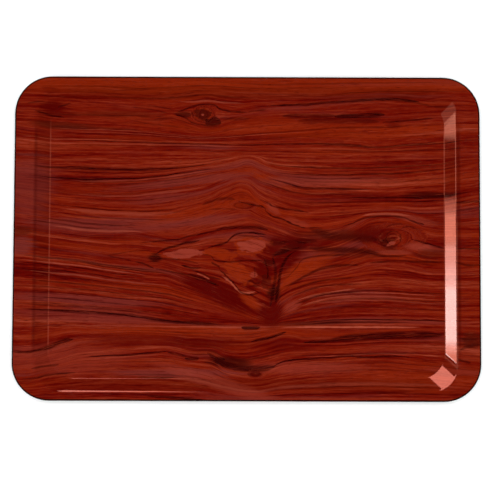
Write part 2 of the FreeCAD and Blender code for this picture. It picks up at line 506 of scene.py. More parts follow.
# Figure lines that cross the grain: points from left to right in millimetres, half width, strength.
DRAWN = [
    # The heart in the middle.
    ([(-110, -5), (-89, -3), (-70, -1.4), (-60, 1.4), (-50, 3.6), (-40, 5.7), (-30, 7.9),
      (-14, 10.4)], 0.8, 0.85),
    ([(-34, 7.5), (-18, 10.5), (-8, 11.2), (4, 11.2), (12, 10.5), (24, 7)], 1.7, 0.85),
    ([(-93, -18), (-84, -12), (-78, -9.5), (-68, -7), (-62, -4.6), (-54, -3.8), (-44, -0.5)], 1.2, 0.95),
    ([(-91, -21), (-84, -20.5), (-76, -20.5), (-66, -21.5), (-56, -23), (-46, -26)], 0.7, 0.75),
    ([(-42, -10), (-30, -7), (-21, -4.3), (-16, 0.5), (-10, 4.3), (-4, 5.6), (4, 5.8), (12, 5),
      (22, 3)], 1.1, 1.0),
    ([(-12, 1.5), (-6, 2.6), (3, 2.3), (12, 2.0), (21, 2.6)], 0.6, 0.7),
    ([(-46, -16), (-38.5, -16.5), (-31, -22), (-21, -23.3), (-11, -23), (-1, -22), (11, -22),
      (20, -21)], 0.8, 0.85),
    ([(-31, -26), (-27, -31), (-18.6, -39), (-10, -48), (-5.7, -53.5), (1.4, -55.7), (8.6, -55),
      (15, -51)], 0.9, 0.85),
    ([(-66, -26.5), (-60, -28), (-53, -29.5), (-44, -29)], 1.1, 1.0),
    ([(-60, -35), (-52, -37.5), (-46, -39), (-36, -43.5), (-26, -47)], 1.3, 1.0),
    ([(-56, -31.5), (-46, -34), (-36, -38.5), (-24, -41)], 0.9, 0.8),
    ([(-36, -24), (-31, -26), (-26, -29.5)], 1.1, 0.85),
    ([(-93, -30), (-80, -32.5), (-66, -35), (-55, -38), (-38, -44.5)], 1.0, 0.75),
    ([(-112, -23), (-100, -26.4), (-91, -31)], 0.9, 0.8),
    ([(-141, -18), (-128, -15.5), (-112, -13), (-94, -12)], 0.6, 0.6),
    ([(-139, -17.5), (-126, -20), (-112, -23)], 0.7, 0.6),
    ([(0, -44), (4, -42), (9, -44.5), (14, -43)], 0.9, 0.7),
    ([(2, -48), (8, -47), (14, -48.5)], 0.7, 0.6),
    ([(30, -6), (40, -3), (52, -3.5), (66, -1)], 1.6, 0.5),
    ([(24, -19), (34, -14), (47, -10.5), (62, -8)], 1.6, 0.65),
    ([(58, -9), (80, -10.5), (104, -11.5), (134, -14.5)], 2.4, 0.7),
    ([(58, 11), (70, 8.2), (79, 4), (92, 1.2), (112, 0.5), (134, -1)], 4.0, 0.6),
    # The fan to the right of the heart.
    ([(36, -43), (43, -35.5), (50, -28), (55, -21), (64, -18), (81, -16.5), (104, -16)], 0.9, 0.7),
    ([(33, -49), (47, -43.5), (60, -36), (81, -28), (115, -26)], 1.4, 0.8),
    ([(40, -52), (61, -45), (85, -40), (115, -38.5)], 0.9, 0.65),
    ([(42, -58), (61, -51), (76, -47), (90, -45.5), (118, -45)], 0.9, 0.65),
    ([(44, -66), (60, -60.7), (70, -57), (90, -53.6), (118, -53)], 1.1, 0.8),
    # Wandering lines above the heart on the right.
    ([(10, 39.5), (18.6, 36.5), (27, 32), (36, 30), (47, 28.6), (64, 25.5)], 0.9, 0.85),
    ([(-12, 38.5), (-1, 35), (8.6, 33), (16, 31.4), (20, 26), (26, 22), (34, 20), (41, 16.5),
      (49, 13), (62, 10)], 0.9, 0.9),
    ([(-46, 33), (-35, 37), (-25, 39.5), (-10, 39)], 1.6, 0.6),
    ([(-40, 28), (-25, 29.5), (-8, 28)], 0.7, 0.5),
    # The knot with its eye, top left of the middle.
    ([(-74, 124.6), (-64, 128.4), (-53.7, 132.2), (-43, 134), (-34, 133.7), (-28, 130),
      (-19, 127.4), (4, 126.3)], 1.0, 0.9),
    ([(-74, 124.2), (-67, 122.5), (-61, 120), (-55, 115.8), (-44.6, 113.3), (-34, 112.2),
      (-24, 116)], 0.9, 0.7),
    ([(-116, 131), (-100, 129.4), (-90, 127.6), (-78, 124.6)], 0.7, 0.6),
    ([(-112, 121.6), (-92, 121.5), (-78, 124.4)], 0.7, 0.6),
    ([(-102, 133.4), (-88, 131.2), (-72, 127.4)], 0.6, 0.5),
    ([(-97, 118), (-80, 120), (-66, 121.3)], 0.6, 0.5),
    ([(-120, 118.5), (-94, 114), (-62, 110.5)], 0.6, 0.5),
    ([(-29, 120.4), (-12, 119.6), (4, 119.4)], 1.4, 0.5),
    # The long streaks, top right.
    ([(14, 131.5), (30, 133.3), (53, 134), (76, 136), (106, 138), (129, 139.5), (144, 139.6),
      (159, 138.7), (176, 136.5)],
     1.3, 0.9),
    ([(124, 139.3), (144, 139.7), (159, 138.7), (174, 136.8)], 1.4, 1.0),
    ([(160, 138), (173, 135.5), (190, 132), (206, 131)], 0.9, 0.6),
    ([(32, 123), (52, 122.6), (92, 123.2)], 2.4, 0.7),
    ([(84, 122.2), (100, 122.6), (118, 123.3), (130, 124.2), (140, 124.6)], 2.7, 1.0),
    ([(46, 117.6), (88, 118.2), (136, 116.4)], 2.8, 0.55),
    ([(132, 116.4), (150, 117.6), (170, 119.4), (190, 121.6)], 1.0, 0.75),
    ([(0, 127), (9, 127.8), (20, 129.2)], 0.8, 0.6),
    # The top left corner.
    ([(-219, 132.6), (-210, 134), (-200, 135.4)], 0.8, 0.7),
    ([(-190, 130.6), (-184, 132.4), (-176, 135)], 0.9, 0.7),
    ([(-213, 127), (-201, 123.4), (-181, 120)], 1.1, 0.8),
    # The swirl on the right.
    ([(92, 12.5), (104, 15), (111, 18.6), (123, 21.7), (140, 22.8), (156, 21.2), (162, 19),
      (170, 15.6), (178, 14)], 0.9, 0.8),
    ([(160, 19.6), (166, 17.2), (177, 14.2)], 1.0, 0.9),
    ([(164, -0.5), (179, -4.4), (198, -10)], 0.9, 0.85),
    ([(108, -11.5), (122, -14), (134, -16.7), (150, -17), (161, -13.6)], 1.2, 0.8),
    ([(118, -24), (132, -23), (146, -22.2), (170, -22.4), (200, -23)], 1.1, 0.75),
    ([(152, 8.5), (159, 12.4), (168, 10), (171, 4)], 0.7, 0.6),
    ([(136, 8), (141, 13), (150, 15), (157, 13.5)], 0.7, 0.6),
    ([(204, 35.2), (216, 36.2), (232, 37.2)], 1.2, 0.9),
    ([(204, 27.5), (216, 28.8), (232, 31)], 0.8, 0.7),
    ([(204, -10), (216, -9.9), (232, -10)], 0.8, 0.8),
    ([(204, -22.4), (212, -25), (219, -26.2), (232, -25)], 1.2, 0.75),
    # The lowest plank.
    ([(-232, -111.4), (-216, -112.6), (-205, -111), (-196, -109), (-190, -106)], 1.1, 0.95),
    ([(-202, -110), (-194, -107.6), (-187, -104.3), (-179.5, -101.6), (-170, -100.2)], 2.2, 0.9),
    ([(-212, -129.4), (-198, -126.7), (-184, -125.5)], 1.0, 0.7),
    ([(-222, -139), (-208, -138), (-193, -135), (-166, -133)], 0.9, 0.8),
    ([(-164, -118.8), (-140, -116.5), (-120.4, -115.8), (-97.7, -113.8), (-81, -112),
      (-74, -108.6)], 0.9, 0.95),
    ([(-80, -112.4), (-73, -114), (-67, -115.3), (-58, -117)], 0.9, 0.85),
    ([(-62, -118.8), (-54.5, -119.2), (-46, -118.6)], 1.9, 0.9),
    ([(-40, -113), (-33, -117), (-28, -119), (-20, -120)], 2.0, 0.9),
    ([(-36, -120), (-26, -123), (-16, -126), (-6, -128.4), (8, -129), (22, -127.8), (32, -124)], 3.2, 0.9),
    ([(14, -128.6), (19.7, -128.6), (30, -124.4), (41, -120.6), (60.6, -119), (85, -117.6),
      (97, -116), (119.7, -117.2),
      (136, -116), (170, -118.4)], 1.1, 0.95),
    ([(40, -117), (60, -115.4), (90, -114.6), (130, -113.4), (180, -112.6)], 0.8, 0.6),
    ([(3, -102.6), (15, -99.6), (22.7, -98.2), (30.3, -95.6), (41, -91.8)], 1.4, 1.0),
    ([(54, -102.8), (70, -102), (85, -101), (97, -99), (108, -98)], 1.6, 0.95),
    ([(78, -100.6), (97, -98.6), (120, -96.8), (150, -95.4), (200, -95)], 3.8, 0.95),
    ([(0, -134), (9, -134.6), (16, -133)], 2.0, 0.7),
    ([(-100, -155), (-80, -155.6), (-62, -157.2), (-40, -158.6)], 1.3, 0.95),
    ([(-110, -137.6), (-94, -138), (-70, -137.4)], 0.9, 0.8),
    ([(-6, -87.4), (4, -88.8), (14, -88)], 1.9, 0.95),
    ([(206, -118.6), (214, -120.4), (220, -122)], 1.2, 0.8),
    ([(208, -110), (216, -106), (232, -103)], 1.6, 0.6),
    ([(208, -97), (216, -99), (232, -94)], 1.3, 0.6),
]

# The same, but points run from the bottom up, as (height, distance to the right).
DRAWN_UPRIGHT = [
    ([(-66, 28.5), (-56, 30), (-46, 31.5), (-35, 33), (-23.5, 37), (-16.5, 42), (-12, 50),
      (-9, 56)], 1.7, 0.95),
    ([(-70, 23), (-55, 25.5), (-46, 27), (-35, 28.5), (-24, 27), (-15, 22)], 1.6, 0.75),
    ([(-41, 20), (-33, 21), (-26, 19), (-19, 17)], 1.0, 0.7),
    ([(-40, 7), (-34, 8), (-28, 6)], 0.6, 0.5),
    ([(-4, 153), (1, 152), (6, 154.5)], 0.7, 0.6),
]

# Pale figure lines, from left to right.
DRAWN_PALE = [
    ([(-26, -37), (-18, -42), (-10, -50), (-4, -54), (4, -53.6), (10, -52)], 1.1, 0.75),
    ([(-50, -34.6), (-44, -37), (-36, -40.6)], 0.7, 0.8),
    ([(48, -62), (60, -58), (76, -54.6), (110, -49)], 0.8, 0.6),
    ([(50, -69), (66, -63), (90, -58), (120, -57)], 0.7, 0.45),
    ([(112, 23), (119, 23.8), (135, 25), (151, 24.4), (164, 22)], 0.9, 0.55),
    ([(30, -87.7), (100, -87.5), (176, -87.7)], 0.8, 1.0),
    ([(-231, -86.4), (-150, -86.8), (-40, -87.6), (20, -87.6)], 0.5, 0.4),
    ([(-70, 137.4), (-56, 136.6), (-42, 137.6), (-28, 136.4), (0, 135)], 0.9, 0.35),
]

# Knots: centre, radii and darkness of the core. The grain closes round each in rings.
KNOTS = [
    (-44, 124, 10, 8, 0.0),
    (145.6, 1, 26, 12, 0.0),
    (-3, 33, 12, 4, 0.0),
    (9, -133.5, 6, 4, 0.7),
]

# Fine dark rings: centre, radii, half width as a share of the radius, and strength.
RINGS = [
    (-44, 124, 10.6, 7.8, 0.08, 0.7),
    (145.6, 0.8, 7.4, 7.2, 0.09, 0.85),
    (145.0, 1.6, 4.0, 3.6, 0.14, 0.7),
    (145.6, 0.8, 14.0, 10.0, 0.05, 0.5),
    (-3, 33, 9.0, 3.0, 0.12, 0.4),
]

# Soft patches of colour: centre, radii, slope, colour and strength.
BLACK_RED = (46, 4, 2)
DARK_RED = (74, 2, 1)
BROWN = (72, 14, 5)
PINK = (134, 48, 34)
PURPLE = (108, 39, 33)
ORANGE = (128, 33, 6)
PATCHES = [
    (-195.5, 146.6, 8, 4, 0, DARK_RED, 0.75),
    (-193, 130.7, 11, 5, 0, DARK_RED, 0.85),
    (-186, 124, 18, 4, -0.1, DARK_RED, 0.7),
    (-186, 112, 32, 3.4, -0.05, BROWN, 0.75),
    (-130, 124.4, 40, 3, 0, BROWN, 0.5),
    (0, 153, 300, 9, 0, ORANGE, 0.55),
    (100, 108, 120, 7, 0, ORANGE, 0.45),
    (-63, 124.2, 9, 3, 0, BLACK_RED, 0.75),
    (146, 113.4, 8, 3, 0, DARK_RED, 0.6),
    (-60, 57, 64, 4, 0.12, PURPLE, 0.6),
    (-130, 13, 80, 7, 0, PURPLE, 0.6),
    (-40, 18, 34, 5, 0.1, PURPLE, 0.55),
    (60, 57, 50, 5, 0, PURPLE, 0.5),
    (110, 58, 40, 4, 0, PINK, 0.4),
    (-214, 50, 20, 30, 0, PURPLE, 0.5),
    (26, 29.5, 6, 4, -0.6, PINK, 0.45),
    (50, 16, 12, 3, -0.3, PINK, 0.35),
    (180, 43.6, 22, 3.4, 0, BLACK_RED, 0.75),
    (110, 43, 30, 3, 0, DARK_RED, 0.6),
    (-50, 25, 60, 5, 0.2, ORANGE, 0.4),
    (-160, -62, 70, 4, -0.06, PURPLE, 0.65),
    (-222, -8, 12, 9, 0, PURPLE, 0.8),
    (-222, 6, 12, 5, 0, BROWN, 0.7),
    (-91, -19.5, 6.5, 4.2, 0, BLACK_RED, 0.95),
    (-30, -52, 34, 10, -0.32, DARK_RED, 0.95),
    (-10, -66, 20, 7, -0.3, DARK_RED, 0.7),
    (38, -9, 24, 14, 0.15, DARK_RED, 0.85),
    (66, -4, 24, 6, 0, DARK_RED, 0.7),
    (40, -22, 12, 9, 0.6, DARK_RED, 0.9),
    (27, -55, 6.5, 9, 0, BLACK_RED, 0.9),
    (24, -74, 12, 14, 0, DARK_RED, 0.9),
    (17, -33, 9, 12, 0, DARK_RED, 0.85),
    (6, -44, 10, 5, 0, DARK_RED, 0.7),
    (100, -13, 34, 5, -0.05, BROWN, 0.6),
    (100, 4, 44, 5, 0, BROWN, 0.75),
    (62, -27, 24, 8, 0.45, ORANGE, 0.75),
    (44, -39, 10, 5, 1.0, ORANGE, 0.6),
    (45, -67, 8, 5, 0.4, PINK, 0.6),
    (3, -62, 9, 5, -0.6, ORANGE, 0.7),
    (127, 4, 20, 9, 0, DARK_RED, 0.8),
    (139, -6, 9, 5, -0.4, BLACK_RED, 0.6),
    (172, -8, 14, 4, -0.1, PINK, 0.75),
    (146, -13.6, 16, 2.4, 0, PINK, 0.5),
    (168, 19, 18, 3.6, -0.2, PINK, 0.5),
    (184, -14, 16, 5, 0, BROWN, 0.6),
    (70, -83.4, 40, 2.2, 0.04, BROWN, 0.7),
    (-60, -83.6, 34, 1.8, -0.06, BLACK_RED, 0.8),
    (-60, -92, 90, 5, 0, ORANGE, 0.5),
    (-95, -101, 60, 6, 0, DARK_RED, 0.5),
    (-35, -103, 40, 5, 0, DARK_RED, 0.7),
    (-16, -123, 22, 5, -0.1, BLACK_RED, 0.8),
    (30, -104, 30, 7, 0, DARK_RED, 0.5),
    (-70, -133, 60, 4, 0, PURPLE, 0.7),
    (-30, -142, 60, 6, -0.3, PINK, 0.5),
    (60, -128, 60, 6, 0, PINK, 0.45),
    (-180, -120, 60, 14, 0, PINK, 0.35),
    (170, -135, 70, 14, 0, ORANGE, 0.4),
    (220, -101, 10, 9, 0, BROWN, 0.85),
]

# The paler islands inside the heart, in the same form.
ISLANDS = [
    (4, -8, 17, 9, 0, ORANGE, 0.7),
    (6, -7, 14, 6, 0, PINK, 0.9),
    (-62, -15, 17, 4.6, 0.08, PINK, 0.9),
    (-26, -15, 16, 5, -0.15, ORANGE, 0.7),
    (-9, -33, 13, 9, -0.5, ORANGE, 0.7),
    (7, -36, 3.4, 3, 0, PINK, 0.7),
    (31, -4, 7, 3, 0, BLACK_RED, 0.5),
    (45, -8, 12, 3, 0.2, BLACK_RED, 0.5),
    (33, -14, 8, 3, 0.3, BLACK_RED, 0.6),
    (22, -24, 6, 3, 0, BLACK_RED, 0.6),
    (19, -42, 5, 7, 0, BLACK_RED, 0.5),
    (58, -2, 12, 2.4, 0, BLACK_RED, 0.45),
    (-44, 124, 8.6, 6.4, 0, BLACK_RED, 0.75),
    (-34, 117.4, 7.4, 4.4, 0, BLACK_RED, 0.85),
    (-44.6, 123.8, 1.5, 1.2, 0, PINK, 0.8),
    (140, -1, 7, 3, 0.3, BLACK_RED, 0.6),
    (142.5, -5, 4.4, 2, 0.3, PINK, 0.8),
]

# Heights of the seams between the planks, and how far along the pattern each plank starts afresh.
PLANK_SEAMS = (83.4, -87.2)
PLANK_SHIFT = 437.0


# ---------------------------------------------------------------------------------------------
# Node groups that paint one feature of the print each.
# ---------------------------------------------------------------------------------------------

# A trace of what lies underneath goes into each stroke's place. It is far too small to see, and it
# makes the engine finish one stroke before it starts the next, so that its working memory is enough.
TRACE = 1e-6


def stroke_group():
    """A stroke at one grain depth, pointed at both ends, laid over what is there."""
    names = ["x", "grain", "under", "at", "start", "end", "half_width", "strength"]
    group, nodes, given = new_group("grain_stroke", names)
    x, grain, under, at, start, end, half_width, strength = given
    x = nodes.math("MULTIPLY_ADD", under, TRACE, x)
    grain = nodes.math("MULTIPLY_ADD", under, TRACE, grain)
    fade = nodes.math("MULTIPLY", nodes.math("SUBTRACT", end, start), 0.32)
    rise = nodes.remap(x, start, nodes.math("ADD", start, fade))
    fall = nodes.remap(x, end, nodes.math("SUBTRACT", end, fade))
    ends = nodes.math("MULTIPLY", rise, fall)
    width = nodes.math("MULTIPLY", half_width, nodes.math("ADD", nodes.math("MULTIPLY", ends, 1.1), 0.2))
    offset = nodes.math("ABSOLUTE", nodes.math("SUBTRACT", grain, at))
    body = nodes.remap(offset, width, nodes.math("MULTIPLY", width, 0.15), 0.0, strength)
    visible = nodes.math("MULTIPLY", body, nodes.remap(ends, 0.0, 0.3))
    give_back(nodes, nodes.math("MAXIMUM", under, visible))
    return group


def ribbon_group():
    """A stroke that follows a drawn curve; line is the curve's height as a share of its range."""
    names = ["x", "y", "under", "line", "low", "high", "start", "end", "half_width", "strength"]
    group, nodes, given = new_group("drawn_stroke", names)
    x, y, under, line, low, high, start, end, half_width, strength = given
    height = nodes.math("ADD", nodes.math("MULTIPLY", line, nodes.math("SUBTRACT", high, low)), low)
    fade = nodes.math("MULTIPLY", nodes.math("SUBTRACT", end, start), 0.22)
    rise = nodes.remap(x, start, nodes.math("ADD", start, fade))
    fall = nodes.remap(x, end, nodes.math("SUBTRACT", end, fade))
    ends = nodes.math("MULTIPLY", rise, fall)
    width = nodes.math("MULTIPLY", half_width, nodes.math("ADD", nodes.math("MULTIPLY", ends, 1.2), 0.3))
    offset = nodes.math("ABSOLUTE", nodes.math("SUBTRACT", y, height))
    body = nodes.remap(offset, width, nodes.math("MULTIPLY", width, 0.3), 0.0, strength)
    visible = nodes.math("MULTIPLY", body, nodes.remap(ends, 0.0, 0.25))
    give_back(nodes, nodes.math("MAXIMUM", under, visible))
    return group


def oval_distance(nodes, x, y, centre_x, centre_y, radius_x, radius_y, slope):
    """Distance from a centre as a share of the radii."""
    dx = nodes.math("SUBTRACT", x, centre_x)
    dy = nodes.math("SUBTRACT", nodes.math("SUBTRACT", y, centre_y), nodes.math("MULTIPLY", dx, slope))
    across = nodes.math("DIVIDE", dx, radius_x)
    up = nodes.math("DIVIDE", dy, radius_y)
    squares = nodes.math("ADD", nodes.math("MULTIPLY", across, across), nodes.math("MULTIPLY", up, up))
    return nodes.math("POWER", squares, 0.5)


def patch_group(name, softness):
    """A ragged oval of colour; softness is how far its edge fades, as a share of the radius."""
    names = ["x", "y", "edge", "under", "centre_x", "centre_y", "radius_x", "radius_y", "slope"]
    names += ["paint", "strength"]
    group, nodes, given = new_group(name, names, colours=("under", "paint"))
    x, y, edge, under, centre_x, centre_y, radius_x, radius_y, slope, paint, strength = given
    distance = oval_distance(nodes, x, y, centre_x, centre_y, radius_x, radius_y, slope)
    share = nodes.remap(nodes.math("ADD", distance, edge), 1.0 + softness, 1.0 - softness, 0.0, strength)
    give_back(nodes, nodes.mix(share, under, paint))
    return group


def ring_group():
    """A fine oval ring, laid over what is there."""
    names = ["x", "y", "edge", "under", "centre_x", "centre_y", "radius_x", "radius_y"]
    names += ["half_width", "strength"]
    group, nodes, given = new_group("fine_ring", names)
    x, y, edge, under, centre_x, centre_y, radius_x, radius_y, half_width, strength = given
    distance = oval_distance(nodes, x, y, centre_x, centre_y, radius_x, radius_y, 0.0)
    distance = nodes.math("ADD", distance, edge)
    offset = nodes.math("ABSOLUTE", nodes.math("SUBTRACT", distance, 1.0))
    give_back(nodes, nodes.math("MAXIMUM", under, nodes.remap(offset, half_width, 0.0, 0.0, strength)))
    return group


def along_grain(nodes, group, x, grain, depths, under, strokes):
    """Adds every stroke that follows a grain line."""
    for name, places in strokes.items():
        for below, *shape in places:
            under = nodes.use(group, x, grain, under, depths[name] + below, *shape)
    return under


def draw_ribbon(nodes, group, along, across, under, points, half_width, strength):
    """Adds one drawn stroke through points given as (along, across)."""
    start, end = points[0][0], points[-1][0]
    low = min(point[1] for point in points)
    high = max(point[1] for point in points) + 0.01
    along = nodes.math("MULTIPLY_ADD", under, TRACE, along)
    share = nodes.remap(along, start, end, smooth=False)
    scaled = [((px - start) / (end - start), (py - low) / (high - low)) for px, py in points]
    line = nodes.curve(share, scaled)
    return nodes.use(group, along, across, under, line, low, high, start, end, half_width, strength)


# ---------------------------------------------------------------------------------------------
# The rosewood print.
# ---------------------------------------------------------------------------------------------

def grain_coordinate(nodes, x, y):
    """Depth into the grain in millimetres from the top edge, and each grain line's own depth."""
    across = nodes.remap(x, -PRINT_HALF_X, PRINT_HALF_X, smooth=False)
    depths = {}
    grain = 0.0
    previous = None
    total = 0.0
    for name, points in GRAIN_LINES.items():
        scaled = [
            ((px + PRINT_HALF_X) / (2 * PRINT_HALF_X), (py + PRINT_HALF_Y) / (2 * PRINT_HALF_Y))
            for px, py in points
        ]
        curve = nodes.curve(across, scaled)
        line = nodes.math("MULTIPLY_ADD", curve, 2 * PRINT_HALF_Y, -PRINT_HALF_Y)
        mean = sum(point[1] for point in points) / len(points)
        if previous is not None:
            above, above_mean = previous
            total += above_mean - mean
            step = nodes.remap(y, above, line, 0.0, above_mean - mean, smooth=False)
            grain = nodes.math("ADD", grain, step)
        depths[name] = total
        previous = (line, mean)
    return grain, depths


def wood_tone(nodes, run, grain, plank):
    """Colour of the plain grain: broad bands, growth lines and fibres."""
    def layer(seed, per_mm_x, per_mm_y, detail=2.0, roughness=0.5):
        seed = nodes.math("ADD", plank, seed)
        return nodes.noise(run, grain, seed, per_mm_x, per_mm_y, detail, roughness)

    bands = layer(0.0, 0.003, 0.10, 3.0, 0.6)
    growth = layer(3.0, 0.006, 0.42, 2.0, 0.5)
    fibres = layer(6.0, 0.048, 1.1, 3.0, 0.7)
    tone = nodes.math("MULTIPLY", bands, 0.9)
    tone = nodes.math("ADD", tone, nodes.math("MULTIPLY", growth, 0.8))
    tone = nodes.math("ADD", tone, nodes.math("MULTIPLY", fibres, 0.8))
    tone = nodes.remap(tone, 0.96, 1.58, smooth=False)
    wood = nodes.ramp(tone, [
        (0.0, rgb(62, 1, 1)),
        (0.2, rgb(84, 4, 1)),
        (0.38, rgb(98, 12, 3)),
        (0.54, rgb(108, 22, 7)),
        (0.75, rgb(118, 33, 15)),
        (1.0, rgb(138, 50, 32)),
    ])
    hue = layer(15.0, 0.005, 0.08)
    wood = nodes.mix(nodes.remap(hue, 0.54, 0.70, 0.0, 0.55), wood, rgb(108, 38, 32))
    wood = nodes.mix(nodes.remap(hue, 0.46, 0.30, 0.0, 0.6), wood, rgb(122, 29, 5))
    return wood, growth, layer


# Where the print bends at the short sides of the dish, from the middle, and how far up the straight part
# of the bend goes, in millimetres. Painted shade and a painted highlight run along these bends.
RIM_CREASE = MOUTH_HALF_X / MM + 0.5
FLOOR_CREASE = (MOUTH_HALF_X - WALL_RUN) / MM
CREASE_FADE = 25
CREASE_REACH = (MOUTH_HALF_Y - WELL_CORNER_RADIUS) / MM

# How far in from the outline the sanding starts to show and has taken all the print, in millimetres.
SANDING_START = 2.0
SANDING_FULL = 1.4


def sanded_edge(nodes, x, y):
    """1 where the rim's outer edge is sanded through the print, 0 elsewhere."""
    def beyond(place, half):
        return nodes.math("MAXIMUM", nodes.math("SUBTRACT", nodes.math("ABSOLUTE", place), half), 0.0)
    across = beyond(x, (HALF_X - OUTLINE_RADIUS) / MM)
    up = beyond(y, (HALF_Y - OUTLINE_RADIUS) / MM)
    squares = nodes.math("ADD", nodes.math("MULTIPLY", across, across), nodes.math("MULTIPLY", up, up))
    outline = OUTLINE_RADIUS / MM
    return nodes.remap(nodes.math("POWER", squares, 0.5), outline - SANDING_START, outline - SANDING_FULL)


def painted_crease_line(nodes, x, y, where, half_width, strength):
    """A soft line along both short sides of the dish, where the print is bent; it carries the painted
    shade at the rim bend and the painted highlight at the floor bend.
    """
    offset = nodes.math("ABSOLUTE", nodes.math("SUBTRACT", nodes.math("ABSOLUTE", x), where))
    line = nodes.remap(offset, half_width, 0.0, 0.0, strength)
    ends = nodes.remap(nodes.math("ABSOLUTE", y), CREASE_REACH, CREASE_REACH - CREASE_FADE)
    return nodes.math("MULTIPLY", line, ends)


def rosewood():
    """Glossy printed rosewood under a clear overlay."""
    material, nodes, shader = new_material("printed_rosewood")
    place = nodes.add("ShaderNodeTexCoord", output="Object")
    split = nodes.tree.nodes.new("ShaderNodeSeparateXYZ")
    nodes.link(place, split.inputs[0])
    x = nodes.math("MULTIPLY", split.outputs[0], 1000.0)
    y = nodes.math("MULTIPLY", split.outputs[1], 1000.0)
    below_seam = [nodes.math("LESS_THAN", y, seam) for seam in PLANK_SEAMS]
    plank = nodes.math("ADD", *below_seam)

    # Slow waver for the grain, fine jitter for everything drawn.
    waver = nodes.math("SUBTRACT", nodes.noise(x, y, plank, 0.016, 0.05, 2.0), 0.5)
    jitter = nodes.noise(x, y, nodes.math("ADD", plank, 5.0), 0.12, 0.5, 3.0)
    jitter = nodes.math("SUBTRACT", jitter, 0.5)
    drawn_y = nodes.math("MULTIPLY_ADD", jitter, 1.6, y)
    drawn_x = nodes.math("MULTIPLY_ADD", jitter, 2.4, x)
    wavy_y = nodes.math("MULTIPLY_ADD", waver, 4.0, y)
    wavy_y = nodes.math("ADD", wavy_y, nodes.math("MULTIPLY", jitter, 0.8))
    grain, depths = grain_coordinate(nodes, x, wavy_y)

    stroke = stroke_group()
    ribbon = ribbon_group()
    patch = patch_group("soft_patch", 0.4)
    island = patch_group("sharp_patch", 0.12)
    ring = ring_group()

    dark = 0.0
    dark = along_grain(nodes, stroke, x, grain, depths, dark, STROKES)
    for points, half_width, strength in DRAWN:
        dark = draw_ribbon(nodes, ribbon, drawn_x, drawn_y, dark, points, half_width, strength)
    for points, half_width, strength in DRAWN_UPRIGHT:
        dark = draw_ribbon(nodes, ribbon, drawn_y, drawn_x, dark, points, half_width, strength)
    ragged = nodes.math("MULTIPLY", jitter, 0.5)
    for values in RINGS:
        dark = nodes.use(ring, x, y, ragged, dark, *values)

    pale = 0.0
    pale = along_grain(nodes, stroke, x, grain, depths, pale, PALE_STROKES)
    for points, half_width, strength in DRAWN_PALE:
        pale = draw_ribbon(nodes, ribbon, drawn_x, drawn_y, pale, points, half_width, strength)

    # Knots bend the grain into rings.
    for centre_x, centre_y, radius_x, radius_y, strength in KNOTS:
        distance = oval_distance(nodes, x, y, centre_x, centre_y, radius_x, radius_y, 0.0)
        distance = nodes.math("ADD", distance, ragged)
        inside = nodes.remap(distance, 1.3, 0.8)
        grain = nodes.blend(inside, grain, nodes.math("MULTIPLY", distance, radius_y * 1.6))
        core = nodes.remap(distance, 0.85, 0.4, 0.0, strength)
        dark = nodes.math("MAXIMUM", dark, core)

    run = nodes.math("MULTIPLY_ADD", plank, PLANK_SHIFT, x)
    wood, growth, layer = wood_tone(nodes, run, grain, plank)

    edge = nodes.math("MULTIPLY", nodes.math("SUBTRACT", growth, 0.5), 1.6)
    for centre_x, centre_y, radius_x, radius_y, slope, colour, strength in PATCHES:
        wood = nodes.use(patch, x, drawn_y, edge, wood, centre_x, centre_y, radius_x, radius_y, slope,
                         rgb(*colour), strength)
    frayed = nodes.math("SUBTRACT", nodes.noise(x, y, 30.0, 0.09, 0.16, 4.0, 0.6), 0.5)
    frayed = nodes.math("MULTIPLY", frayed, 1.8)
    for centre_x, centre_y, radius_x, radius_y, slope, colour, strength in ISLANDS:
        wood = nodes.use(island, x, drawn_y, frayed, wood, centre_x, centre_y, radius_x, radius_y, slope,
                         rgb(*colour), strength)

    # Fine fibre lines and pores over everything.
    veins = layer(12.0, 0.004, 0.30, 2.0, 0.6)
    from_middle = nodes.math("ABSOLUTE", nodes.math("SUBTRACT", veins, 0.5))
    vein_lines = nodes.remap(from_middle, 0.020, 0.0, 0.0, 0.6)
    pores = layer(9.0, 0.11, 1.7, 2.0, 0.5)
    threads = layer(18.0, 0.045, 1.6, 3.0, 0.7)
    pale = nodes.math("MULTIPLY", pale, nodes.remap(threads, 0.3, 0.55, 0.5, 1.0))
    # Painted highlight: a thin pale line along the floor bend on both short sides, added to the pale print
    # strokes.
    pale = nodes.math("MAXIMUM", pale, painted_crease_line(nodes, x, y, FLOOR_CREASE, 0.9, 0.4))
    # Painted shade: a soft dark line along the rim bend on both short sides, painted into the print
    # colour.
    rim_crease_painted_shade = painted_crease_line(nodes, x, y, RIM_CREASE, 3.0, 0.45)
    # The pale print strokes together with the painted floor-bend highlight.
    wood = nodes.mix(pale, wood, rgb(158, 70, 50))
    wood = nodes.mix(vein_lines, wood, rgb(70, 2, 1))
    wood = nodes.mix(nodes.remap(pores, 0.57, 0.73, 0.0, 0.65), wood, rgb(64, 2, 1))
    wood = nodes.mix(nodes.remap(threads, 0.56, 0.74, 0.0, 0.42), wood, rgb(158, 62, 40))
    dark = nodes.math("MULTIPLY", dark, nodes.remap(threads, 0.64, 0.44, 0.42, 0.95))
    wood = nodes.mix(dark, wood, rgb(40, 1, 1))

    # Lays the painted shade along the rim bend.
    wood = nodes.mix(rim_crease_painted_shade, wood, rgb(52, 1, 1))
    sanded = sanded_edge(nodes, x, y)
    wood = nodes.mix(sanded, wood, rgb(20, 4, 3))

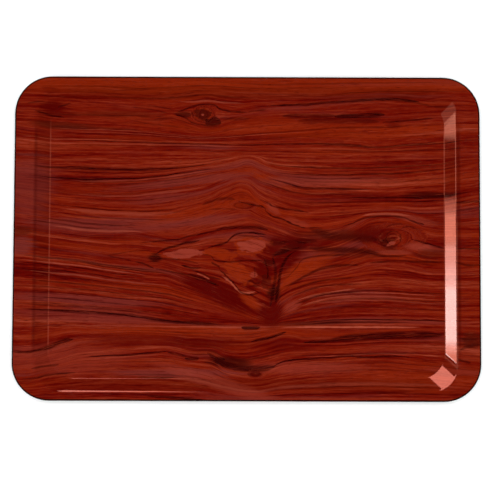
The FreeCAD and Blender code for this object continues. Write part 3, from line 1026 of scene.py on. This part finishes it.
    nodes.link(wood, shader.inputs["Base Color"])
    smears = nodes.noise(x, y, 40.0, 0.05, 0.05, 3.0)
    nodes.link(nodes.remap(smears, 0.35, 0.7, 0.04, 0.075), shader.inputs["Coat Roughness"])
    scuffs = nodes.noise(x, y, 50.0, 0.6, 0.6, 3.0, 0.7)
    nodes.link(nodes.bump(scuffs, 0.12, 0.00002), shader.inputs["Coat Normal"])
    shader.inputs["Roughness"].default_value = 0.35
    shader.inputs["Specular IOR Level"].default_value = 0.0
    nodes.link(nodes.remap(sanded, 0.6, 0.1), shader.inputs["Coat Weight"])
    return material


# ---------------------------------------------------------------------------------------------
# The core and the back.
# ---------------------------------------------------------------------------------------------

def object_place(nodes):
    """Place on the piece in millimetres."""
    split = nodes.tree.nodes.new("ShaderNodeSeparateXYZ")
    nodes.link(nodes.add("ShaderNodeTexCoord", output="Object"), split.inputs[0])
    return [nodes.math("MULTIPLY", axis, 1000.0) for axis in split.outputs]


def phenolic_kraft():
    """Resin-soaked kraft paper, sanded at the edge: dark brown, with paper fibres and sanding marks."""
    material, nodes, shader = new_material("phenolic_kraft")
    x, y, z = object_place(nodes)
    cloud = nodes.noise(x, y, z, 0.08, 0.08, 3.0, 0.6)
    fibre = nodes.noise(x, y, z, 0.9, 0.9, 3.0, 0.7)
    layers = nodes.noise(z, cloud, 7.0, 6.0, 2.0, 2.0)
    tone = nodes.math("ADD", nodes.math("MULTIPLY", cloud, 0.5), nodes.math("MULTIPLY", layers, 0.6))
    tone = nodes.math("MULTIPLY_ADD", fibre, 0.25, tone)
    colour = nodes.ramp(nodes.remap(tone, 0.42, 0.92), [
        (0.0, rgb(8, 3, 2)),
        (0.5, rgb(16, 6, 4)),
        (1.0, rgb(32, 14, 9)),
    ])
    nodes.link(colour, shader.inputs["Base Color"])
    nodes.link(nodes.remap(fibre, 0.3, 0.7, 0.62, 0.85), shader.inputs["Roughness"])
    nodes.link(nodes.bump(fibre, 0.4, 0.00003), shader.inputs["Normal"])
    shader.inputs["Specular IOR Level"].default_value = 0.15
    return material


def backing_paper():
    """The satin brown back: cloudy resin, a fine pressed weave, faint rubbing where it stands."""
    material, nodes, shader = new_material("backing_paper")
    x, y, z = object_place(nodes)
    cloud = nodes.noise(x, y, 2.0, 0.02, 0.02, 4.0, 0.6)
    speckle = nodes.noise(x, y, 4.0, 0.7, 0.7, 3.0, 0.7)
    rubbing = nodes.noise(x, y, 8.0, 0.03, 0.9, 3.0, 0.6)
    tone = nodes.math("MULTIPLY_ADD", speckle, 0.35, nodes.math("MULTIPLY", cloud, 0.8))
    colour = nodes.ramp(nodes.remap(tone, 0.38, 0.8), [
        (0.0, rgb(48, 20, 13)),
        (0.5, rgb(62, 28, 18)),
        (1.0, rgb(80, 40, 27)),
    ])
    worn = nodes.math("MULTIPLY", nodes.remap(rubbing, 0.6, 0.72, 0.0, 0.35), nodes.remap(z, 0.6, 0.0))
    colour = nodes.mix(worn, colour, rgb(116, 78, 60))
    nodes.link(colour, shader.inputs["Base Color"])
    gloss = nodes.math("ADD", nodes.remap(cloud, 0.3, 0.7, 0.36, 0.5), nodes.math("MULTIPLY", worn, 0.3))
    nodes.link(gloss, shader.inputs["Roughness"])
    nodes.link(nodes.bump(speckle, 0.35, 0.00004), shader.inputs["Normal"])
    return material


def pale_floor():
    """Matt studio paper with the faintest mottling."""
    material, nodes, shader = new_material("pale_floor")
    x, y, z = object_place(nodes)
    mottle = nodes.noise(x, y, 0.0, 0.01, 0.01, 3.0)
    nodes.link(nodes.ramp(mottle, [(0.0, (0.93, 0.93, 0.93, 1.0)), (1.0, (0.96, 0.96, 0.96, 1.0))]),
               shader.inputs["Base Color"])
    shader.inputs["Roughness"].default_value = 0.9
    shader.inputs["Specular IOR Level"].default_value = 0.0
    return material


def repaint(node, material):
    """Gives a CAD node its material."""
    for slot in frame["nodes"][node].material_slots:
        slot.material = material


# ---------------------------------------------------------------------------------------------
# Studio: floor, camera and lights.
# ---------------------------------------------------------------------------------------------

FLOOR_REACH = 6.0

# The camera looks down from nearly overhead. Its target is a little off the middle of the rim.
CAMERA_DISTANCE = 1.0
CAMERA_LENS = 73.26
CAMERA_TILT = math.radians(2.7)
CAMERA_ROLL = math.radians(0.2)
CAMERA_TARGET = Vector((0.0031, -0.0119, RIM_Z))

# The highlight lamps: the side lamps' plane and what they face, the corner lamp's place, and tints.
KEY_X = -1.2
RIGHT_WALL = (0.2, -0.04, 0)
STRIP_RED = (1.0, 0.30, 0.20)
FLARE_RED = (1.0, 0.36, 0.24)
CORNER_AIM = Vector((0.19, -0.137, 0.007))
CORNER_WAY = Vector((-0.4206, 0.5684, 0.7071))
CORNER_DISTANCE = 12.0


def studio_floor():
    mesh = bpy.data.meshes.new("studio_floor")
    corners = [(-1, -1), (1, -1), (1, 1), (-1, 1)]
    mesh.from_pydata([(x * FLOOR_REACH, y * FLOOR_REACH, 0) for x, y in corners], [], [(0, 1, 2, 3)])
    floor = bpy.data.objects.new("studio_floor", mesh)
    bpy.context.scene.collection.objects.link(floor)
    floor.data.materials.append(pale_floor())


def area_light(name, place, target, size, power, colour=(1, 1, 1)):
    """A rectangular lamp that faces a target."""
    light = bpy.data.lights.new(name, "AREA")
    light.shape = "RECTANGLE"
    light.size, light.size_y = size
    light.energy = power
    light.color = colour
    lamp = bpy.data.objects.new(name, light)
    lamp.location = place
    lamp.rotation_euler = (Vector(target) - Vector(place)).to_track_quat("-Z", "Y").to_euler()
    bpy.context.scene.collection.objects.link(lamp)
    return lamp


def camera():
    data = bpy.data.cameras.new("camera")
    data.sensor_width = 36.0
    data.lens = CAMERA_LENS * CAMERA_DISTANCE
    cam = bpy.data.objects.new("camera", data)
    back = Vector((0.0, -math.sin(CAMERA_TILT), math.cos(CAMERA_TILT)))
    cam.location = CAMERA_TARGET + back * CAMERA_DISTANCE
    cam.rotation_mode = "QUATERNION"
    cam.rotation_quaternion = (-back).to_track_quat("-Z", "Y") @ Quaternion((0, 0, 1), CAMERA_ROLL)
    bpy.context.scene.collection.objects.link(cam)
    bpy.context.scene.camera = cam


def key_light(name, low, high, radiance, colour):
    """A highlight lamp left of the tray, between two corners given as (y, z), facing the right wall."""
    width, height = high[0] - low[0], high[1] - low[1]
    place = (KEY_X, (low[0] + high[0]) / 2, (low[1] + high[1]) / 2)
    power = radiance * math.pi * width * height
    area_light(name, place, RIGHT_WALL, (width, height), power, colour).visible_diffuse = False


def studio_lights():
    """Soft light from above, and highlight lamps for the right wall and its corner."""
    area_light("overhead_soft", (0.0, 0.0, 2.2), (0, 0, 0), (2.4, 2.4), 60.0).visible_glossy = False
    key_light("key_strip", (-0.24, 0.49), (0.185, 0.625), 6.0, STRIP_RED)
    key_light("key_strip_core", (-0.24, 0.49), (0.15, 0.625), 7.9, STRIP_RED)
    key_light("key_strip_soft", (-0.19, 0.49), (0.07, 0.625), 2.6, (1.0, 1.0, 1.0))
    key_light("key_strip_softer", (-0.175, 0.49), (0.02, 0.625), 2.6, (1.0, 1.0, 1.0))
    key_light("key_strip_bright", (-0.165, 0.49), (-0.03, 0.625), 5.0, (1.0, 1.0, 1.0))
    key_light("key_flare", (0.335, 0.49), (0.43, 0.66), 7.0, FLARE_RED)
    key_light("key_flare_upper", (0.15, 0.62), (0.40, 0.86), 6.0, FLARE_RED)
    key_light("key_trail", (-0.45, 0.80), (0.15, 1.4), 1.6, FLARE_RED)
    corner = area_light("corner_light", CORNER_AIM + CORNER_WAY * CORNER_DISTANCE, CORNER_AIM,
                        (0.64 * CORNER_DISTANCE, 0.46 * CORNER_DISTANCE), 11.5 * CORNER_DISTANCE ** 2,
                        (1.0, 0.30, 0.22))
    corner.visible_diffuse = False
    world = bpy.data.worlds.new("studio")
    world.use_nodes = True
    world.node_tree.nodes["Background"].inputs[0].default_value = (1, 1, 1, 1)
    world.node_tree.nodes["Background"].inputs[1].default_value = 0.4
    world.cycles_visibility.glossy = False
    bpy.context.scene.world = world
    bpy.context.scene.view_settings.view_transform = "Standard"


# ---------------------------------------------------------------------------------------------
# Building the scene.
# ---------------------------------------------------------------------------------------------

face = printed_face()
face.data.materials.append(rosewood())
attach(face, "root")
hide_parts("clear_overlay", "decor_sheet")

kraft = phenolic_kraft()
for name in frame["nodes"]:
    if name.startswith("core_ply"):
        repaint(name, kraft)
repaint("backing_sheet", backing_paper())

studio_floor()
camera()
studio_lights()
